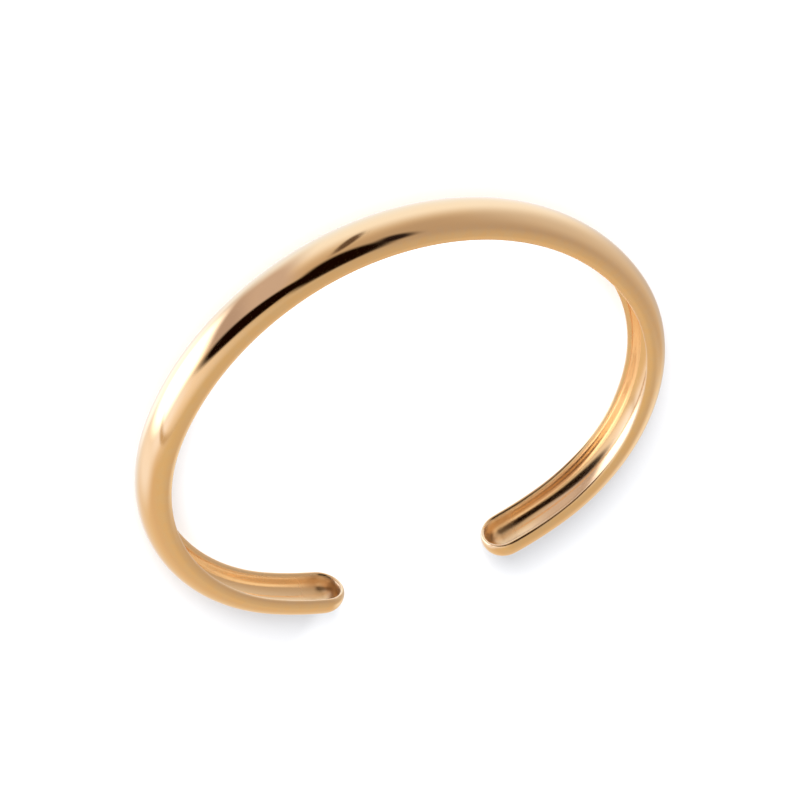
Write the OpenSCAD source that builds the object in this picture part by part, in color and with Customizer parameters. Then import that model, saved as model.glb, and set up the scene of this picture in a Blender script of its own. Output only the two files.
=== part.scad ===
// Open oval bangle, lying on its side
// The band is domed outside and hollow inside, with a rounded rim along both edges and round closed ends.
// Z is the axis that the wrist passes along, +Y points to the middle of the back, and the opening is at -Y.
// Angles along the band are its turning, measured from the middle of the back towards each end.

/* [Band] */
// Width of the band, along the bangle's axis
band_width = 5.8; // [5:0.1:7]
// Thickness of the band, from the wearing surface to the crown of the dome
band_thickness = 3.2; // [2.8:0.1:3.8]
// Metal between the bottom of the hollow and the crown of the dome
crown_wall = 0.6; // [0.5:0.1:1.2]
// Width of the rounded rim that touches the wrist
rim_width = 0.8; // [0.5:0.05:1]
// Height over which a rim rounds, up to where the band is widest
rim_height = 0.9; // [0.4:0.1:1.2]

/* [Oval] */
// Radius of the wearing surface across the back
back_radius = 29.8; // [26:0.2:33]
// Turning of the back's arc on each side of its middle
back_angle = 64; // [59:1:70]
// Radius of the wearing surface round each side
side_radius = 20.8; // [19:0.2:23]
// Turning of each side's arc
side_angle = 89; // [84:1:95]
// Radius of the wearing surface along each front arm
front_radius = 33.8; // [30:0.2:40]
// Turning of each front arm, up to where its round end begins
front_angle = 11; // [6:1:14]

/* [Hidden] */
$fn = 96;
rim_radius = rim_width / 2;
half_width = band_width / 2;
dome_height = band_thickness - rim_height;
hollow_height = dome_height - crown_wall;
hollow_half_width = half_width - rim_width;

// Where the arcs meet
side_start = back_angle;
front_start = side_start + side_angle;
band_end = front_start + front_angle;

// Centres of the arcs, before the oval is centred. Each arc runs on smoothly from the one before it.
function outward(angle) = [sin(angle), cos(angle)];
back_centre = [0, 0];
side_centre = back_centre + (back_radius - side_radius) * outward(side_start);
front_centre = side_centre + (side_radius - front_radius) * outward(front_start);
end_point = front_centre + front_radius * outward(band_end);

// The lowest Y is on the dome of the round ends, an ellipse seen at a slant
end_reach = norm([dome_height * cos(band_end), half_width * sin(band_end)]) - rim_height * cos(band_end);
top_y = back_radius + band_thickness;
bottom_y = end_point[1] - end_reach;
centring = [0, -(top_y + bottom_y) / 2, half_width];

// Half of an ellipse, on the far side of the Y axis
module half_ellipse(reach, half_height) {
    intersection() {
        scale([reach, half_height])
            circle(r = 1);
        translate([0, -half_height])
            square([reach, 2 * half_height]);
    }
}

// Rounded foot of one rim, on the near side of the Y axis
module rim_foot() {
    rotate(180)
        half_ellipse(rim_height, rim_radius);
}

// Section of the band: X is the height over the wearing surface, Y runs across the band
module section() {
    translate([rim_height, 0]) {
        difference() {
            half_ellipse(dome_height, half_width);
            half_ellipse(hollow_height, hollow_half_width);
        }
        for (side = [-1, 1])
            translate([0, side * (half_width - rim_radius)])
                rim_foot();
    }
}

// Moves in two steps, a rounded one and the small rest, so that neighbouring stretches meet face to face
module place(point) {
    rounded = [for (value = point) round(value * 1000) / 1000];
    translate(rounded)
        translate(point - rounded)
            children();
}

// Turns in two steps for the same reason: the first is the angle of a triangle with sides 7, 24 and 25
module turn_to_end() {
    rotate(-90)
        multmatrix([[7 / 25, 24 / 25, 0, 0], [-24 / 25, 7 / 25, 0, 0], [0, 0, 1, 0], [0, 0, 0, 1]])
            rotate(90 + atan2(24, 7) - band_end)
                children();
}

// Stretch of the band with a constant radius, between two turning angles
module arc_stretch(centre, radius, from, to) {
    place(centre)
        rotate_extrude(angle = to - from, start = 90 - to)
            translate([radius, 0])
                section();
}

// Round end: half of the section, turned half a circle about the outward line at the band's end
module round_end() {
    place(end_point)
        turn_to_end()
            rotate([0, -90, -90])
                rotate_extrude(angle = 180, start = 0)
                    intersection() {
                        rotate(90)
                            mirror([0, 1])
                                section();
                        square([half_width, band_thickness]);
                    }
}

// One side of the bangle, from the back's arc to the tip
module arm() {
    arc_stretch(side_centre, side_radius, side_start, front_start);
    arc_stretch(front_centre, front_radius, front_start, band_end);
    round_end();
}

module bangle() {
    color([0.85, 0.65, 0.39])
        translate(centring) {
            arc_stretch(back_centre, back_radius, -back_angle, back_angle);
            for (side = [0, 1])
                mirror([side, 0, 0])
                    arm();
        }
}

bangle();
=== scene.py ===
"""Dresses the open bangle: a smooth, polished rose-gold band on a pale studio floor."""
import math
from collections import namedtuple

import bmesh
import bpy
from bpy.props import FloatProperty, FloatVectorProperty, IntProperty, PointerProperty
from mathutils import Matrix, Vector


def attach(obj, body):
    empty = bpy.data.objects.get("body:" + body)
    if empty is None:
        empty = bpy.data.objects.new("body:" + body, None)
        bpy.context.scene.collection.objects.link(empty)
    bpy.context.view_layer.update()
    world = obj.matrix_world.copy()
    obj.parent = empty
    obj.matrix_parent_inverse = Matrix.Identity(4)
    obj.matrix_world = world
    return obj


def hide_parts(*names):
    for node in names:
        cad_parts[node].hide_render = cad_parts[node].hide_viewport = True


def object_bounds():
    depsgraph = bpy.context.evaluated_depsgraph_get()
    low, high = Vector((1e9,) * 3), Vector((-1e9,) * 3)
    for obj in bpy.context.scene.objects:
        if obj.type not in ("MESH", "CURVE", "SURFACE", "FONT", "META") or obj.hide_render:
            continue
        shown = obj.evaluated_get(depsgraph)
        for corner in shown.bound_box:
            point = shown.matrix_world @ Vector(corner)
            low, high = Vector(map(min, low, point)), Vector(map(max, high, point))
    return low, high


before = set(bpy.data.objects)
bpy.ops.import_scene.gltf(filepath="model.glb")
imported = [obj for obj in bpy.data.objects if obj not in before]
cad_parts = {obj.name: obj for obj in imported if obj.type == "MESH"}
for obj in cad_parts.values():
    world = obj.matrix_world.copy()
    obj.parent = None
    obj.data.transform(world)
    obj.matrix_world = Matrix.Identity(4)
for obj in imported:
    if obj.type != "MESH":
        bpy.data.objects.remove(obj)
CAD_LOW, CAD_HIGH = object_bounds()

bl_info = {
    "name": "Open Bangle",
    "version": (1, 0, 0),
    "blender": (4, 5, 0),
    "location": "3D View > Sidebar > Bangle",
    "description": "Builds an open, hollow-backed bangle in polished rose gold, and its studio",
    "category": "Add Mesh",
}

MM = 0.001
MICRON = 0.000001
MILLIWATT = 0.001

# Spans of the section's outline over the dome, round each rim's foot and through the hollow
DOME_SPANS = 12
FOOT_SPANS = 6
HOLLOW_SPANS = 10
# Corrections that bring the smoothed outline onto the drawn one
CAGE_ROUNDS = 20
# Points nearer than this are one point
MERGE = 0.002 * MM
# Spans of the cage along each arc, before it is smoothed
BACK_SPANS = 20
SIDE_SPANS = 20
FRONT_SPANS = 3
END_SPANS = 12

# Grain of the metal's marks, in cells a metre: one number where it is even, or along and across the mark
WAVE_GRAIN = 130
CLOUD_GRAIN = 160
HAZE_GRAIN = 700
RUBBING_GRAIN = 900
LINE_GRAIN = (70, 4500)
HAIRLINE_GRAIN = (60, 1100)
HAIRLINE_PATCH_GRAIN = (150, 500)
# Turn of each set of hairlines from the band, in degrees, and how near a half its noise is along a hairline
HAIRLINE_SETS = ((18, 0.012), (-27, 0.009))
# Roughness that each kind of mark adds to the polish
HAZE_ROUGHNESS = 0.03
WEAR_ROUGHNESS = 0.06
RIM_ROUGHNESS = 0.07
HOLLOW_ROUGHNESS = 0.1
UNREACHED_ROUGHNESS = 0.2
HAIRLINE_ROUGHNESS = 0.12
# Share of the worn colour where the plating is clouded
CLOUD_TINT = 0.3

# Places of the two lights in metres, the turn over which the key light is spread, and the size of the fill light
KEY_PLACE = Vector((-0.3, 1, 0.45))
KEY_SPREAD = math.radians(36)
FILL_PLACE = Vector((0.004, 0.006, 0.02))
FILL_SIZE = 12 * MM
FLOOR_RADIUS = 2
# Columns and rows of the node layouts
NODE_COLUMN = 220
NODE_ROW = 260

# Soft cards that the polished metal mirrors, each laid over those before it.
# Angles are in degrees, seen from the bangle: longitude from +X towards +Y, latitude up from the floor, and the
# card's turn about its own middle. Half sizes are angles too. The outline is an ellipse at a square of 2 and
# nearer a rectangle above that, and softness is the share of the half size over which the edge fades.
Card = namedtuple("Card", "name longitude latitude turn half_width half_height square softness colour")
CARDS = (
    Card("brown wall", 38, 36, 0, 76, 54, 2, 0.5, (0.53, 0.41, 0.30)),
    Card("wall light", 15, 0, 0, 32, 28, 2, 0.7, (0.70, 0.60, 0.50)),
    Card("cream floor", 55, -64, 0, 52, 46, 2, 0.4, (1.06, 1.07, 1.07)),
    Card("white floor", 60, -90, 0, 28, 28, 2, 0.8, (1.0, 1.1, 1.25)),
    Card("grey wall", -35, -25, 0, 22, 20, 2, 0.7, (0.66, 0.59, 0.54)),
    Card("glow", 174, 15, 0, 20, 45, 2, 0.6, (1.0, 0.87, 0.74)),
    Card("pink glow", 202, -15, 0, 14, 26, 2, 0.7, (1.05, 1.0, 1.0)),
    Card("pale glow", 179, 8, 0, 14, 21, 2, 0.6, (1.08, 1.06, 1.12)),
    Card("brown band", 130, -14, 0, 18, 46, 3, 0.3, (0.64, 0.52, 0.47)),
    Card("brown edge", 142, -14, 0, 9, 42, 2, 0.6, (0.52, 0.41, 0.37)),
    Card("left box", 167.5, -27, 0, 17.5, 31, 2.5, 0.3, (2.3, 2.3, 2.4)),
    Card("left floor", -160, -62, 0, 16, 12, 2, 0.5, (1.4, 1.4, 1.6)),
    Card("dark arc", 190, 28, -20, 2, 30, 2, 0.7, (0.62, 0.45, 0.27)),
    Card("front light", -52, 0, 0, 9, 22, 2, 0.9, (1.0, 0.9, 0.75)),
    Card("flag side", 70, 46, 25, 5, 15, 2, 0.5, (0.02, 0.01, 0.01)),
    Card("flag overhead", 94, 52, 12, 14, 30, 2, 0.22, (0.008, 0.002, 0)),
    Card("flag left", 134, 36, 36, 16, 32, 2, 0.22, (0.008, 0.002, 0)),
    Card("thin flag", 92, -5, -16, 3.5, 18, 2, 0.4, (0.14, 0.09, 0.06)),
)
# Colour of the room behind the cards, from straight down (-1) to straight up (1)
Room = namedtuple("Room", "height colour")
ROOM = (
    Room(-1.0, (0.95, 1.05, 1.25)),
    Room(-0.75, (0.95, 0.95, 1.0)),
    Room(-0.5, (0.90, 0.77, 0.65)),
    Room(-0.25, (0.86, 0.70, 0.50)),
    Room(0.0, (0.83, 0.64, 0.42)),
    Room(0.35, (0.77, 0.57, 0.36)),
    Room(1.0, (0.75, 0.57, 0.31)),
)


class BangleSizes(bpy.types.PropertyGroup):
    """Sizes of the band and of the oval that it follows"""

    band_width: FloatProperty(
        name="Band width",
        description="Width of the band, along the axis that the wrist passes",
        default=CAD_HIGH.z - CAD_LOW.z,
        unit="LENGTH",
    )
    band_thickness: FloatProperty(
        name="Band thickness",
        description="From the wearing surface to the crown of the dome",
        default=3.2 * MM,
        unit="LENGTH",
    )
    crown_wall: FloatProperty(
        name="Crown wall",
        description="Metal between the bottom of the hollow and the crown of the dome",
        default=0.6 * MM,
        unit="LENGTH",
    )
    rim_width: FloatProperty(
        name="Rim width",
        description="Width of the rounded rim that touches the wrist",
        default=0.8 * MM,
        unit="LENGTH",
    )
    rim_height: FloatProperty(
        name="Rim height",
        description="Height over which the rim rounds, up to where the band is widest",
        default=0.9 * MM,
        unit="LENGTH",
    )
    back_radius: FloatProperty(
        name="Back radius",
        description="Radius of the wearing surface across the back",
        default=29.8 * MM,
        unit="LENGTH",
    )
    back_angle: FloatProperty(
        name="Back angle",
        description="Turning of the back's arc on each side of its middle",
        default=math.radians(64),
        subtype="ANGLE",
    )
    side_radius: FloatProperty(
        name="Side radius",
        description="Radius of the wearing surface round each side",
        default=20.8 * MM,
        unit="LENGTH",
    )
    side_angle: FloatProperty(
        name="Side angle",
        description="Turning of each side's arc",
        default=math.radians(89),
        subtype="ANGLE",
    )
    front_radius: FloatProperty(
        name="Front radius",
        description="Radius of the wearing surface along each front arm",
        default=33.8 * MM,
        unit="LENGTH",
    )
    front_angle: FloatProperty(
        name="Front angle",
        description="Turning of each front arm, up to its round end",
        default=math.radians(11),
        subtype="ANGLE",
    )
    smoothness: IntProperty(
        name="Smoothness",
        description="Levels of the surface that smooths the band's cage",
        default=2,
        min=1,
        max=3,
    )


class BangleFinish(bpy.types.PropertyGroup):
    """Colours and polish of the metal"""

    metal_colour: FloatVectorProperty(
        name="Metal",
        description="Colour of the polished rose gold",
        subtype="COLOR",
        size=3,
        default=(0.93, 0.70, 0.45),
    )
    hollow_colour: FloatVectorProperty(
        name="Hollow metal",
        description="Colour in the hollow, where the plating is untouched",
        subtype="COLOR",
        size=3,
        default=(0.99, 0.76, 0.50),
    )
    worn_colour: FloatVectorProperty(
        name="Worn metal",
        description="Colour where the plating is a little thinner",
        subtype="COLOR",
        size=3,
        default=(0.90, 0.71, 0.50),
    )
    polish: FloatProperty(
        name="Polish",
        description="Roughness of the freshly polished surface",
        subtype="FACTOR",
        default=0.05,
        min=0,
        max=1,
    )
    waviness: FloatProperty(
        name="Waviness",
        description="Height of the slow waves that hand polishing leaves, in microns",
        default=4.0,
        min=0,
    )
    polishing_lines: FloatProperty(
        name="Polishing lines",
        description="Height of the fine lines along the band, in microns",
        default=0.15,
        min=0,
    )
    scratch_depth: FloatProperty(
        name="Scratch depth",
        description="Depth of the hairline scratches, in microns",
        default=0.5,
        min=0,
    )


class BangleStudio(bpy.types.PropertyGroup):
    """Camera, light and surroundings"""

    azimuth: FloatProperty(
        name="Azimuth",
        description="Where the camera stands round the bangle, from the side of the opening",
        default=math.radians(203),
        subtype="ANGLE",
    )
    elevation: FloatProperty(
        name="Elevation",
        description="Height of the camera over the floor",
        default=math.radians(45.54),
        subtype="ANGLE",
    )
    roll: FloatProperty(
        name="Roll",
        description="Turn of the camera about its own line of sight",
        default=math.radians(146.5),
        subtype="ANGLE",
    )
    distance: FloatProperty(
        name="Distance",
        description="From the camera to the point that it looks at",
        default=335.6 * MM,
        unit="LENGTH",
    )
    target: FloatVectorProperty(
        name="Target",
        description="Point that the camera looks at",
        subtype="TRANSLATION",
        size=3,
        default=(-0.32 * MM, 0.17 * MM, 2.04 * MM),
    )
    focal_length: FloatProperty(
        name="Focal length",
        description="Lens of the camera, in millimetres",
        default=134.5,
    )
    ambient: FloatVectorProperty(
        name="Ambient light",
        description="Even light from all round, on what isn't polished",
        subtype="COLOR",
        size=3,
        default=(0.79, 0.81, 0.85),
    )
    key_strength: FloatProperty(
        name="Key light",
        description="Strength of the broad, low light from behind the bangle",
        default=4.6,
        min=0,
    )
    fill_power: FloatProperty(
        name="Fill light",
        description="Power of the small light low over the bangle's middle, in milliwatts",
        default=12,
        min=0,
    )
    floor_colour: FloatVectorProperty(
        name="Floor",
        description="Colour of the plain floor",
        subtype="COLOR",
        size=3,
        default=(0.9, 0.9, 0.9),
    )


def sizes():
    return bpy.context.scene.bangle_sizes


def finish():
    return bpy.context.scene.bangle_finish


def studio():
    return bpy.context.scene.bangle_studio


def arc(centre, reach, start, end, steps):
    """Points of an ellipse's arc as (height, across), between two angles in degrees, leaving out the last."""
    points = []
    for step in range(steps):
        angle = math.radians(start + (end - start) * step / steps)
        points.append(Vector((centre[0] + reach[0] * math.cos(angle), centre[1] + reach[1] * math.sin(angle))))
    return points


def section_outline(size):
    """Outline of the band's section: the dome, one rim's foot, the hollow and the other foot."""
    rim = size.rim_width / 2
    widest = size.rim_height
    half = size.band_width / 2
    dome = (size.band_thickness - widest, half)
    hollow = (dome[0] - size.crown_wall, half - size.rim_width)
    foot = (widest, rim)
    points = arc((widest, 0), dome, -90, 90, DOME_SPANS)
    points += arc((widest, half - rim), foot, 90, 270, FOOT_SPANS)
    points += arc((widest, 0), hollow, 90, -90, HOLLOW_SPANS)
    points += arc((widest, rim - half), foot, 90, 270, FOOT_SPANS)
    return points


def cage_through(outline):
    """Control points whose smoothed loop passes through the outline's points."""
    cage = [point.copy() for point in outline]
    for _ in range(CAGE_ROUNDS):
        reached = [
            (cage[i - 1] + 4 * cage[i] + cage[(i + 1) % len(cage)]) / 6 for i in range(len(cage))
        ]
        cage = [here + (target - smooth) for here, target, smooth in zip(cage, outline, reached)]
    return cage


def distances_round(outline):
    """Distance of each point from the crown of the dome, the shorter way round the section."""
    crown = max(range(len(outline)), key=lambda i: outline[i].x)
    order = [(crown + i) % len(outline) for i in range(len(outline))]
    walked = [0.0]
    for here, there in zip(order, order[1:] + order[:1]):
        walked.append(walked[-1] + (outline[there] - outline[here]).length)
    distances = [0.0] * len(outline)
    for index, distance in zip(order, walked):
        distances[index] = min(distance, walked[-1] - distance)
    return distances


def outward(turning):
    """Direction away from the hollow, at a turning from the middle of the back."""
    return Vector((math.sin(turning), math.cos(turning), 0))


def arc_centres(size):
    """Centres of the back's, the side's and the front arm's arcs, and where the round end begins."""
    front_start = size.back_angle + size.side_angle
    band_end = front_start + size.front_angle
    back = Vector((0, CAD_HIGH.y - size.back_radius - size.band_thickness, CAD_LOW.z + size.band_width / 2))
    side = back + (size.back_radius - size.side_radius) * outward(size.back_angle)
    front = side + (size.side_radius - size.front_radius) * outward(front_start)
    end = front + size.front_radius * outward(band_end)
    return back, side, front, end, band_end


def spin_on(bm, geometry, centre, axis, angle, steps):
    """Spins edges on about an axis and returns the last copy's."""
    spun = bmesh.ops.spin(
        bm, geom=geometry, cent=centre, axis=axis, angle=angle, steps=steps, use_duplicate=False
    )
    return [item for item in spun["geom_last"] if isinstance(item, (bmesh.types.BMVert, bmesh.types.BMEdge))]


def put_in_order(bm):
    """Sorts the edges and the faces by their corners, so that each run gives the same mesh."""
    bm.verts.index_update()
    count = len(bm.verts)

    def first_corners(part):
        first, second, *others = sorted(vert.index for vert in part.verts)
        return (first * count + second) * count + (others[0] if others else 0)

    bm.edges.sort(key=first_corners)
    bm.faces.sort(key=first_corners)


def band_cage(size):
    """One side of the band, spun along its arcs and closed by its round end, then mirrored."""
    bm = bmesh.new()
    outline = cage_through(section_outline(size))
    back, side, front, end, band_end = arc_centres(size)
    around = bm.verts.layers.float.new("around")
    ring = bmesh.ops.create_circle(bm, segments=len(outline), radius=size.band_width / 2)
    for vert, (height, across), distance in zip(ring["verts"], outline, distances_round(outline)):
        vert.co = (0, back.y + size.back_radius + height, back.z + across)
        vert[around] = distance
    last = list(bm.verts) + list(bm.edges)
    clockwise = (0, 0, -1)
    last = spin_on(bm, last, back, clockwise, size.back_angle, BACK_SPANS)
    last = spin_on(bm, last, side, clockwise, size.side_angle, SIDE_SPANS)
    last = spin_on(bm, last, front, clockwise, size.front_angle, FRONT_SPANS)

    # The round end is the upper half of the section, turned half a circle about the outward line
    upper = [item for item in last if isinstance(item, bmesh.types.BMVert) and item.co.z > back.z - MERGE]
    edges = [item for item in last if isinstance(item, bmesh.types.BMEdge)]
    upper += [edge for edge in edges if edge.verts[0] in upper and edge.verts[1] in upper]
    spin_on(bm, upper, end, outward(band_end), math.pi, END_SPANS)
    bmesh.ops.remove_doubles(bm, verts=bm.verts, dist=MERGE)
    bmesh.ops.mirror(bm, geom=bm.verts[:] + bm.edges[:] + bm.faces[:], merge_dist=MERGE, axis="X")
    bmesh.ops.remove_doubles(bm, verts=bm.verts, dist=MERGE)
    put_in_order(bm)
    bmesh.ops.recalc_face_normals(bm, faces=bm.faces)
    return bm


def feed(tree, socket, value):
    """Links a node's output to an input, or sets the input to a value."""
    if isinstance(value, bpy.types.NodeSocket):
        tree.links.new(value, socket)
    else:
        socket.default_value = value


def add_node(tree, kind, settings=None, **inputs):
    """A node with its settings, and its inputs given by name with _ for a space."""
    node = tree.nodes.new("ShaderNode" + kind)
    for name, value in (settings or {}).items():
        setattr(node, name, value)
    for name, value in inputs.items():
        feed(tree, node.inputs[name.replace("_", " ")], value)
    return node


def calculate(tree, operation, *values):
    """Output of a Math node."""
    node = add_node(tree, "Math", {"operation": operation})
    for socket, value in zip(node.inputs, values):
        feed(tree, socket, value)
    return node.outputs[0]


def calculate_vector(tree, operation, *values, output=0):
    """Output of a Vector Math node."""
    node = add_node(tree, "VectorMath", {"operation": operation})
    for socket, value in zip(node.inputs, values):
        feed(tree, socket, value)
    return node.outputs[output]


def fade(tree, value, start, end, low=0.0, high=1.0):
    """Smooth step of a value, from low at start to high at end."""
    return add_node(
        tree, "MapRange", {"interpolation_type": "SMOOTHSTEP"},
        Value=value, From_Min=start, From_Max=end, To_Min=low, To_Max=high,
    ).outputs["Result"]


def blend_colours(tree, factor, first, second):
    """Colour between two, by a factor."""
    node = add_node(tree, "Mix", {"data_type": "RGBA"})
    for socket, value in zip((node.inputs[0], node.inputs[6], node.inputs[7]), (factor, first, second)):
        feed(tree, socket, value)
    return node.outputs[2]


def lay_out(tree):
    """Sets the nodes in columns, each left of what it feeds."""
    column = {node: 0 for node in tree.nodes}
    for _ in tree.nodes:
        for link in tree.links:
            column[link.from_node] = max(column[link.from_node], column[link.to_node] + 1)
    filled = {}
    for node in tree.nodes:
        row = filled.get(column[node], 0)
        node.location = (-NODE_COLUMN * column[node], -NODE_ROW * row)
        filled[column[node]] = row + 1


def place_on_band(tree):
    """Place on the metal as a vector (along the band, round its section, height), and three measures, in metres.

    They are the way round the section from the crown, the height over the floor, and the distance from the centre
    of the round end on the same side.
    """
    place = add_node(tree, "TexCoord").outputs["Object"]
    x, y, z = add_node(tree, "SeparateXYZ", Vector=place).outputs
    turning = calculate(tree, "ARCTAN2", x, y)
    along = calculate(tree, "MULTIPLY", turning, sizes().back_radius)
    around = add_node(tree, "Attribute", {"attribute_name": "around"}).outputs["Fac"]
    on_band = add_node(tree, "CombineXYZ", X=along, Y=around, Z=z).outputs[0]
    one_side = add_node(tree, "CombineXYZ", X=calculate(tree, "ABSOLUTE", x), Y=y, Z=z).outputs[0]
    end = arc_centres(sizes())[3]
    from_end = calculate_vector(tree, "DISTANCE", one_side, end, output="Value")
    return on_band, around, z, from_end


def stretched(tree, place, turn, grain):
    """Place turned on the surface, then scaled to a grain along and across, for fine lines."""
    along, across = grain
    return add_node(
        tree, "Mapping", {"vector_type": "TEXTURE"},
        Vector=place, Rotation=(0, 0, math.radians(turn)), Scale=(1 / along, 1 / across, 1 / across),
    ).outputs[0]


def noise(tree, vector, scale, detail=2.0, roughness=0.5):
    """Grey noise about a half."""
    return add_node(tree, "TexNoise", Vector=vector, Scale=scale, Detail=detail, Roughness=roughness).outputs["Fac"]


def scratches(tree, place, turn, width):
    """Mask of sparse hairlines at an angle to the band: the level lines of a stretched noise, broken up."""
    lines = noise(tree, stretched(tree, place, turn, HAIRLINE_GRAIN), 1.0, detail=1.0)
    off_line = calculate(tree, "ABSOLUTE", calculate(tree, "SUBTRACT", lines, 0.5))
    thin = fade(tree, off_line, width, 0.0)
    patches = noise(tree, stretched(tree, place, turn, HAIRLINE_PATCH_GRAIN), 1.0)
    return calculate(tree, "MULTIPLY", thin, fade(tree, patches, 0.52, 0.68))


def polished_rose_gold(look, size):
    """Mirror polish with a breath of waviness, polishing lines, hairline scratches and softer, worn edges."""
    material = bpy.data.materials.new("polished_rose_gold")
    material.use_nodes = True
    tree = material.node_tree
    shader = tree.nodes["Principled BSDF"]
    shader.inputs["Metallic"].default_value = 1
    place, around, height, from_end = place_on_band(tree)

    # Where the band lies on a table, and where its rims rub on the skin
    middle = (CAD_LOW.z + CAD_HIGH.z) / 2
    off_middle = calculate(tree, "ABSOLUTE", calculate(tree, "SUBTRACT", height, middle))
    edge = fade(tree, off_middle, 0.36 * size.band_width, 0.5 * size.band_width)
    foot = size.band_width / 2 + size.band_thickness - size.rim_height
    off_foot = calculate(tree, "ABSOLUTE", calculate(tree, "SUBTRACT", around, foot))
    rim = fade(tree, off_foot, 1.2 * MM, 0.3 * MM)
    rubbed = fade(tree, noise(tree, place, RUBBING_GRAIN, detail=4.0), 0.38, 0.62, low=0.3)
    wear = calculate(tree, "MULTIPLY", calculate(tree, "MAXIMUM", edge, rim), rubbed)

    # A polishing wheel reaches the hollow less well, and least of all its round ends
    hollow = fade(tree, around, foot, foot + 0.8 * MM)
    unreached = calculate(tree, "MULTIPLY", hollow, fade(tree, from_end, 4 * MM, 2 * MM))

    cloud = fade(tree, noise(tree, place, CLOUD_GRAIN, detail=3.0), 0.35, 0.65)
    tint = calculate(tree, "MAXIMUM", calculate(tree, "MULTIPLY", cloud, CLOUD_TINT), wear)
    plated = blend_colours(tree, hollow, (*look.metal_colour, 1), (*look.hollow_colour, 1))
    colour = blend_colours(tree, tint, plated, (*look.worn_colour, 1))
    feed(tree, shader.inputs["Base Color"], colour)

    hairlines = calculate(tree, "MAXIMUM", *[scratches(tree, place, turn, width) for turn, width in HAIRLINE_SETS])
    haze = calculate(tree, "MULTIPLY", noise(tree, place, HAZE_GRAIN, detail=5.0), HAZE_ROUGHNESS)
    roughness = calculate(tree, "ADD", haze, look.polish)
    for mask, extra in (
        (wear, WEAR_ROUGHNESS),
        (rim, RIM_ROUGHNESS),
        (hollow, HOLLOW_ROUGHNESS),
        (unreached, UNREACHED_ROUGHNESS),
        (hairlines, HAIRLINE_ROUGHNESS),
    ):
        roughness = calculate(tree, "MULTIPLY_ADD", mask, extra, roughness)
    feed(tree, shader.inputs["Roughness"], roughness)

    waves = noise(tree, place, WAVE_GRAIN, detail=1.0)
    lines = noise(tree, stretched(tree, place, 0, LINE_GRAIN), 1.0, detail=1.0)
    relief = calculate(tree, "MULTIPLY", waves, look.waviness * MICRON)
    relief = calculate(tree, "MULTIPLY_ADD", lines, look.polishing_lines * MICRON, relief)
    relief = calculate(tree, "MULTIPLY_ADD", hairlines, -look.scratch_depth * MICRON, relief)
    bump = add_node(tree, "Bump", Strength=1.0, Distance=1.0, Height=relief)
    feed(tree, shader.inputs["Normal"], bump.outputs["Normal"])
    lay_out(tree)
    return material


def apply_modifiers(piece):
    """Gives a piece the mesh that its modifiers make, and takes them off."""
    evaluated = piece.evaluated_get(bpy.context.evaluated_depsgraph_get())
    cage = piece.data
    piece.data = bpy.data.meshes.new_from_object(evaluated)
    piece.data.name = cage.name
    piece.modifiers.clear()
    bpy.data.meshes.remove(cage)


class BANGLE_OT_band(bpy.types.Operator):
    """Make the bangle's band with its hollow, rims and round ends"""

    bl_idname = "bangle.band"
    bl_label = "Band"

    def execute(self, context):
        size = sizes()
        bm = band_cage(size)
        mesh = bpy.data.meshes.new("bangle_band")
        bm.to_mesh(mesh)
        bm.free()
        mesh.shade_smooth()
        mesh.materials.append(polished_rose_gold(finish(), size))
        band = bpy.data.objects.new("bangle_band", mesh)
        context.scene.collection.objects.link(band)
        smoother = band.modifiers.new("smooth", "SUBSURF")
        smoother.levels = size.smoothness
        smoother.render_levels = size.smoothness
        apply_modifiers(band)
        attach(band, "root")
        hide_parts("bangle")
        return {"FINISHED"}


def camera_axes(view):
    """Right, up and back of the camera, from its angles."""
    flat = math.cos(view.elevation)
    back = Vector((math.sin(view.azimuth) * flat, -math.cos(view.azimuth) * flat, math.sin(view.elevation)))
    level = Vector((math.cos(view.azimuth), math.sin(view.azimuth), 0))
    above = back.cross(level)
    right = level * math.cos(view.roll) + above * math.sin(view.roll)
    return right, back.cross(right), back


def add_camera(view):
    """A camera that looks at the target from its angles and its distance."""
    right, up, back = camera_axes(view)
    data = bpy.data.cameras.new("camera")
    data.lens = view.focal_length
    data.clip_start = 0.01
    data.clip_end = 10
    camera = bpy.data.objects.new("camera", data)
    bpy.context.scene.collection.objects.link(camera)
    place = Matrix((right, up, back)).transposed().to_4x4()
    place.translation = Vector(view.target) + back * view.distance
    camera.matrix_world = place
    bpy.context.scene.camera = camera


def add_floor(view):
    """A wide, pale disk under the bangle, which the polished metal doesn't mirror."""
    bm = bmesh.new()
    bmesh.ops.create_circle(bm, cap_ends=True, segments=96, radius=FLOOR_RADIUS)
    mesh = bpy.data.meshes.new("floor")
    bm.to_mesh(mesh)
    bm.free()
    mesh.transform(Matrix.Translation((0, 0, CAD_LOW.z)))
    material = bpy.data.materials.new("pale_floor")
    material.use_nodes = True
    shader = material.node_tree.nodes["Principled BSDF"]
    shader.inputs["Base Color"].default_value = (*view.floor_colour, 1)
    shader.inputs["Roughness"].default_value = 0.6
    mesh.materials.append(material)
    floor = bpy.data.objects.new("floor", mesh)
    floor.visible_glossy = False
    bpy.context.scene.collection.objects.link(floor)


def add_light(kind, name, place):
    """A light aimed at the bangle from a place, which neither the camera nor the polished metal sees."""
    data = bpy.data.lights.new(name, kind)
    light = bpy.data.objects.new(name, data)
    light.visible_glossy = False
    light.visible_camera = False
    light.matrix_world = Matrix.Translation(place) @ place.to_track_quat("Z", "Y").to_matrix().to_4x4()
    bpy.context.scene.collection.objects.link(light)
    return data


def add_lights(view):
    """A broad key light from behind, and a small fill light low over the bangle's middle.

    The band's shade falls beyond the two front arms, where neither reaches the floor.
    """
    key = add_light("SUN", "key", KEY_PLACE)
    key.angle = KEY_SPREAD
    key.energy = view.key_strength
    fill = add_light("AREA", "fill", FILL_PLACE)
    fill.shape = "DISK"
    fill.size = FILL_SIZE
    fill.energy = view.fill_power * MILLIWATT


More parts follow.
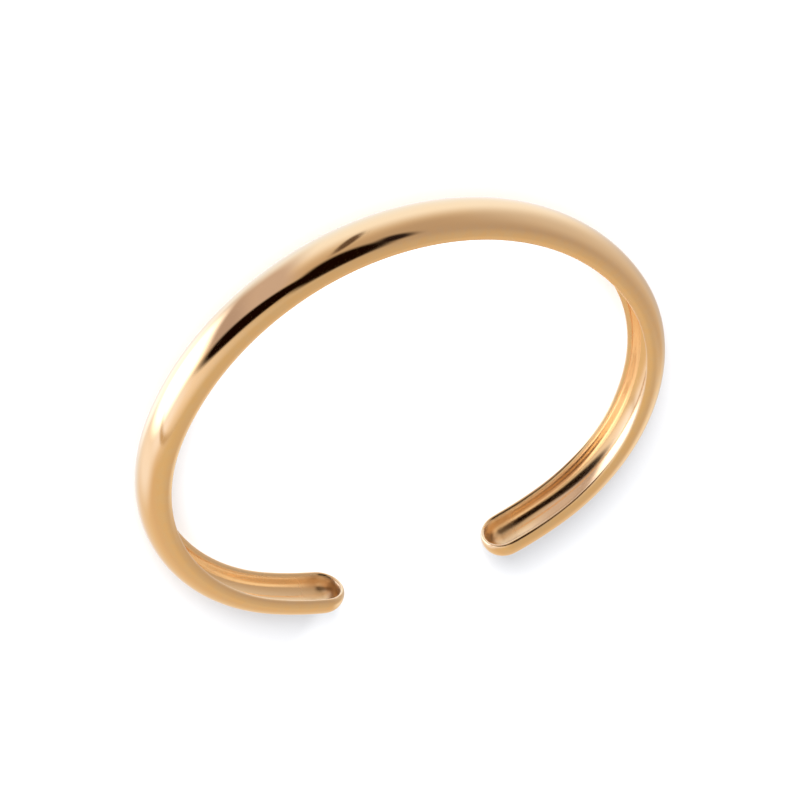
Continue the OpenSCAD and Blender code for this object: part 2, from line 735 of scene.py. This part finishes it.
def direction_to(longitude, latitude):
    """Direction from the bangle, from angles in degrees."""
    turn, rise = math.radians(longitude), math.radians(latitude)
    return Vector((math.cos(turn) * math.cos(rise), math.sin(turn) * math.cos(rise), math.sin(rise)))


def card_axes(card):
    """Direction of a card's middle, and the directions across and along it."""
    centre = direction_to(card.longitude, card.latitude)
    level = direction_to(card.longitude + 90, 0)
    across = Matrix.Rotation(math.radians(card.turn), 3, centre) @ level
    return centre, across, centre.cross(across)


def lay_card(tree, direction, card, behind):
    """Lays one soft-edged card over the colour behind it, by direction."""
    centre, across, along = card_axes(card)
    shares = []
    for axis, half_angle in ((across, card.half_width), (along, card.half_height)):
        offset = calculate_vector(tree, "DOT_PRODUCT", direction, axis, output="Value")
        share = calculate(tree, "DIVIDE", calculate(tree, "ABSOLUTE", offset), math.sin(math.radians(half_angle)))
        shares.append(calculate(tree, "POWER", share, card.square))
    out = calculate(tree, "POWER", calculate(tree, "ADD", *shares), 1 / card.square)
    inside = fade(tree, out, 1 + card.softness, 1 - card.softness)

    # A direction straight behind has the same offsets, but there is no card there
    ahead = calculate_vector(tree, "DOT_PRODUCT", direction, centre, output="Value")
    mask = calculate(tree, "MULTIPLY", inside, fade(tree, ahead, 0.0, 0.3))
    return blend_colours(tree, mask, behind, (*card.colour, 1))


def room_colour(tree, direction):
    """Colour of the room by height, from a ramp."""
    height = add_node(tree, "SeparateXYZ", Vector=direction).outputs["Z"]
    share = calculate(tree, "MULTIPLY_ADD", height, 0.5, 0.5)
    ramp = add_node(tree, "ValToRGB", Fac=share)
    stops = ramp.color_ramp.elements
    while len(stops) < len(ROOM):
        stops.new(0.5)
    for stop, room in zip(stops, ROOM):
        stop.position = (room.height + 1) / 2
        stop.color = (*room.colour, 1)
    return ramp.outputs["Color"]


def add_surroundings(view):
    """White to the camera, soft cards in a warm room to the polished metal, and even light to the floor."""
    world = bpy.data.worlds.new("studio")
    bpy.context.scene.world = world
    world.use_nodes = True
    world.cycles.sampling_method = "NONE"
    tree = world.node_tree
    tree.nodes.remove(tree.nodes["Background"])

    # What the metal mirrors
    direction = add_node(tree, "TexCoord").outputs["Generated"]
    mirrored = room_colour(tree, direction)
    for card in CARDS:
        mirrored = lay_card(tree, direction, card, mirrored)

    # Each kind of ray sees its own background
    rays = add_node(tree, "LightPath").outputs
    seen = add_node(tree, "Background", Color=(*view.ambient, 1)).outputs[0]
    for ray, colour in (("Is Glossy Ray", mirrored), ("Is Camera Ray", (1, 1, 1, 1))):
        light = add_node(tree, "Background", Color=colour).outputs[0]
        chosen = tree.nodes.new("ShaderNodeMixShader")
        for socket, value in zip(chosen.inputs, (rays[ray], seen, light)):
            tree.links.new(value, socket)
        seen = chosen.outputs[0]
    tree.links.new(seen, tree.nodes["World Output"].inputs["Surface"])
    lay_out(tree)


class BANGLE_OT_studio(bpy.types.Operator):
    """Make the floor, the lights, the surroundings and the camera"""

    bl_idname = "bangle.studio"
    bl_label = "Studio"

    def execute(self, context):
        view = studio()
        add_camera(view)
        add_floor(view)
        add_lights(view)
        add_surroundings(view)
        context.scene.view_settings.view_transform = "Standard"
        return {"FINISHED"}


class BANGLE_PT_panel(bpy.types.Panel):
    """Lists the bangle's pieces and its studio"""

    bl_label = "Bangle"
    bl_idname = "BANGLE_PT_panel"
    bl_space_type = "VIEW_3D"
    bl_region_type = "UI"
    bl_category = "Bangle"

    def draw(self, context):
        for title, group in (("Sizes", sizes()), ("Finish", finish()), ("Studio", studio())):
            box = self.layout.box()
            box.label(text=title)
            for name in group.__annotations__:
                box.prop(group, name)
        self.layout.operator("bangle.band")
        self.layout.operator("bangle.studio")


CLASSES = (BangleSizes, BangleFinish, BangleStudio, BANGLE_OT_band, BANGLE_OT_studio, BANGLE_PT_panel)


def register():
    for kind in CLASSES:
        bpy.utils.register_class(kind)
    bpy.types.Scene.bangle_sizes = PointerProperty(type=BangleSizes)
    bpy.types.Scene.bangle_finish = PointerProperty(type=BangleFinish)
    bpy.types.Scene.bangle_studio = PointerProperty(type=BangleStudio)


def unregister():
    del bpy.types.Scene.bangle_studio
    del bpy.types.Scene.bangle_finish
    del bpy.types.Scene.bangle_sizes
    for kind in reversed(CLASSES):
        bpy.utils.unregister_class(kind)


def main():
    register()
    bpy.ops.bangle.band()
    bpy.ops.bangle.studio()


if __name__ == "__main__":
    main()
